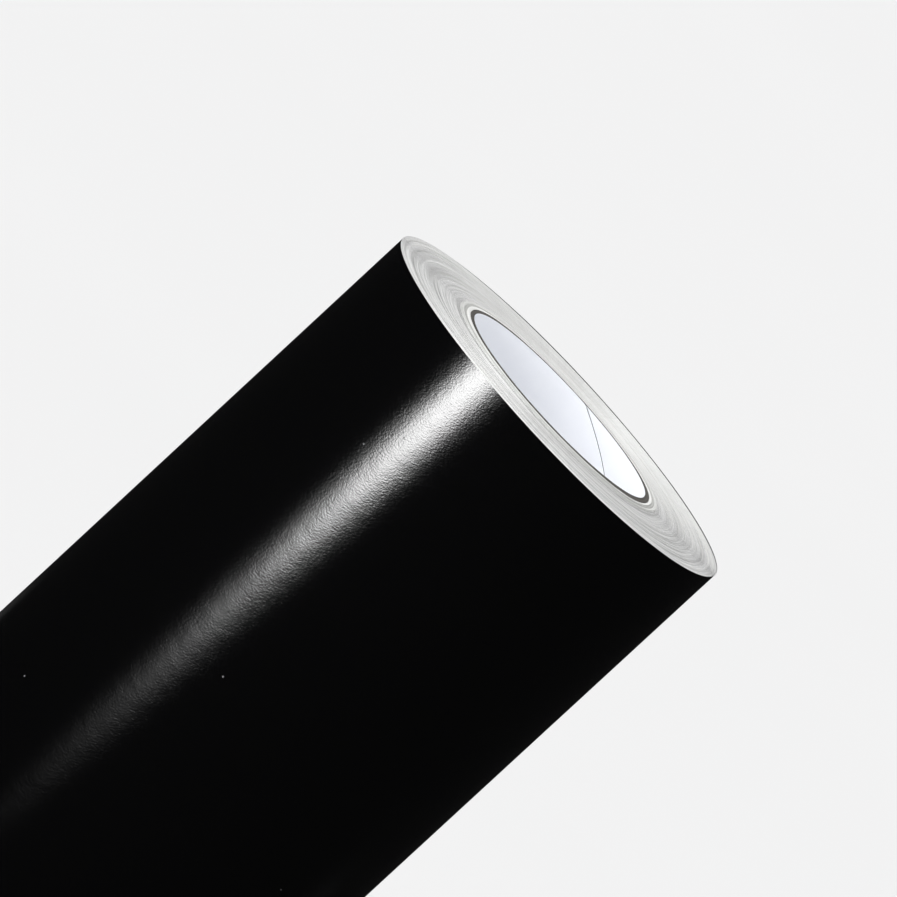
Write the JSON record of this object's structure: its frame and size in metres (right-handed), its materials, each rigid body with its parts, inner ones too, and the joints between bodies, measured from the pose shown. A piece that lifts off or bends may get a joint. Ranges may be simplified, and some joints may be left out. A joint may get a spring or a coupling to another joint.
{
  "type": "roll of sign vinyl",
  "caption": "Roll of black self-adhesive vinyl on a white paper liner, wound on a spiral-ply paper core, with a taped tail that lifts and peels.",
  "frame": {"origin": "centre of the roll's bottom end face, on the core's axis", "axes": "+Z along the core, +Y towards the side that has the tail, whose free edge is 140 degrees round from +X"},
  "size_m": [0.1407, 0.1411, 0.6104],
  "materials": {
    "black_film": "satin",
    "wound_web": "satin",
    "liner_paper": "satin",
    "white_paper": "matte",
    "white_board": "matte",
    "brown_board": "matte",
    "grey_board": "matte",
    "clear_tape": "gloss"
  },
  "bodies": {
    "roll": {"core_inner_ply": "white_paper", "core_brown_ply": "brown_board", "core_white_ply": "white_board", "core_grey_ply_1": "grey_board", "core_grey_ply_2": "grey_board", "core_cover_ply": "grey_board", "start_tape": "clear_tape", "wound_web": "wound_web", "last_turn_liner": "liner_paper", "last_turn_film": "black_film"},
    "tail": {"tail_liner": "liner_paper", "tail_film": "black_film"},
    "peel": {"peel_film": "black_film", "lower_tape_anchor": "clear_tape", "upper_tape_anchor": "clear_tape"},
    "lower_tape": {"lower_tape_flap": "clear_tape"},
    "upper_tape": {"upper_tape_flap": "clear_tape"}
  },
  "joints": [
    {"name": "tail_lift", "type": "hinge", "parent": "roll", "child": "tail", "pos_m": [0.0663, 0.02418, 0.3052], "axis": [0, 0, -1], "range_deg": [0, 60]},
    {"name": "film_peel", "type": "hinge", "parent": "tail", "child": "peel", "pos_m": [0.01224, 0.06966, 0.3052], "axis": [0, 0, -1], "range_deg": [0, 130]},
    {"name": "lower_tape_lift", "type": "hinge", "parent": "peel", "child": "lower_tape", "pos_m": [-0.05425, 0.04552, 0.152], "axis": [0, 0, -1], "range_deg": [0, 170]},
    {"name": "upper_tape_lift", "type": "hinge", "parent": "peel", "child": "upper_tape", "pos_m": [-0.05425, 0.04552, 0.458], "axis": [0, 0, -1], "range_deg": [0, 170]}
  ]
}
